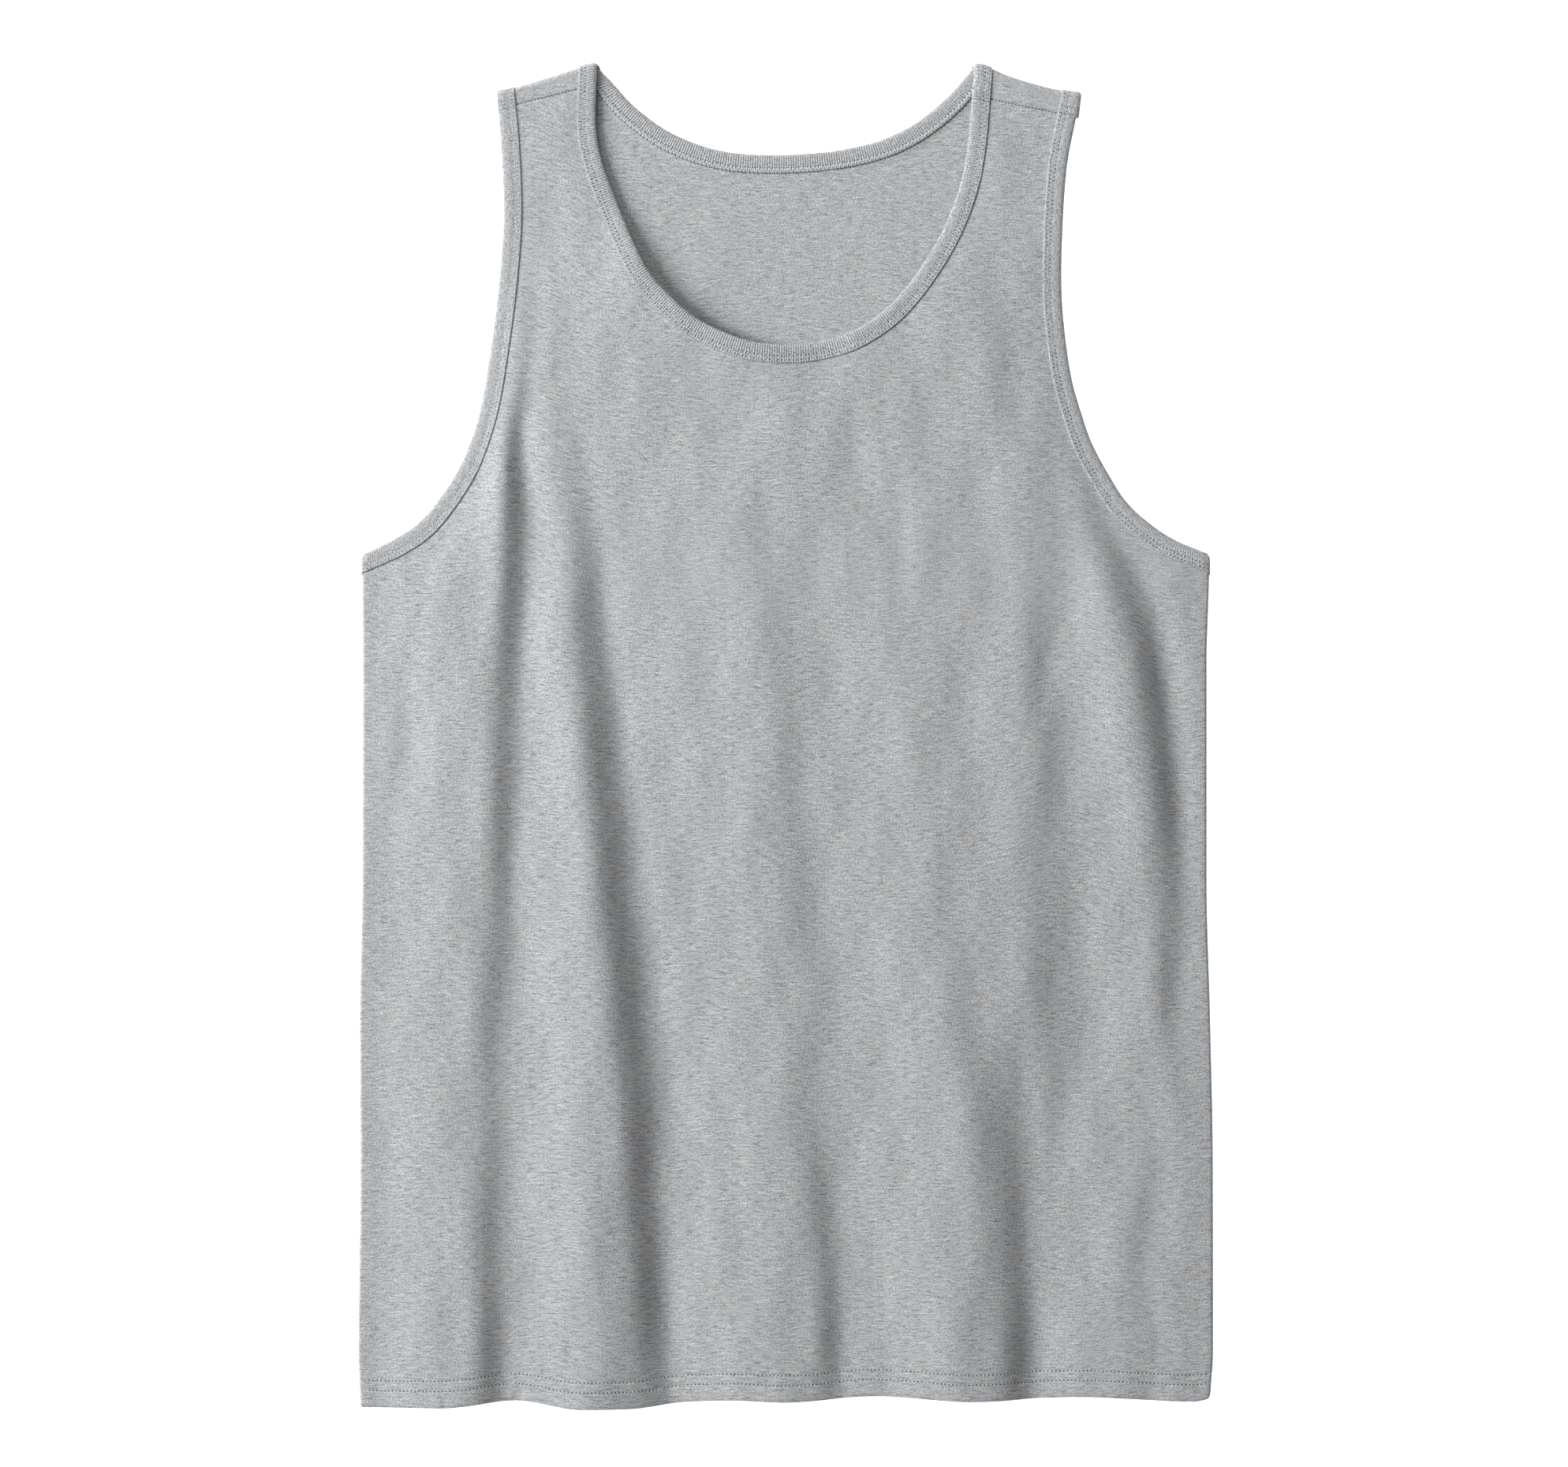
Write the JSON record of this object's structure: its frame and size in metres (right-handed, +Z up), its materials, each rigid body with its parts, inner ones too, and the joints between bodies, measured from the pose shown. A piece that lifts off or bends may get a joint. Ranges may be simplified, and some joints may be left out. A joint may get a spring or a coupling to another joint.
{
  "type": "tank top",
  "caption": "Sleeveless jersey tank top laid flat, front up, with a scoop neck, deep armholes, rib bindings and soft lengthwise folds.",
  "frame": {"origin": "middle of the underside, on the surface that the garment lies on", "axes": "+Y up the garment from the hem to the shoulders, +Z up out of the front, +X to the right as seen from above"},
  "size_m": [0.4775, 0.7512, 0.0191],
  "materials": {
    "jersey": "matt heather grey single jersey",
    "rib": "matt heather grey fine rib"
  },
  "bodies": {
    "root": {"front_panel": "jersey", "back_panel": "jersey", "neck_binding": "rib", "armhole_binding_left": "rib", "armhole_binding_right": "rib"}
  },
  "joints": []
}
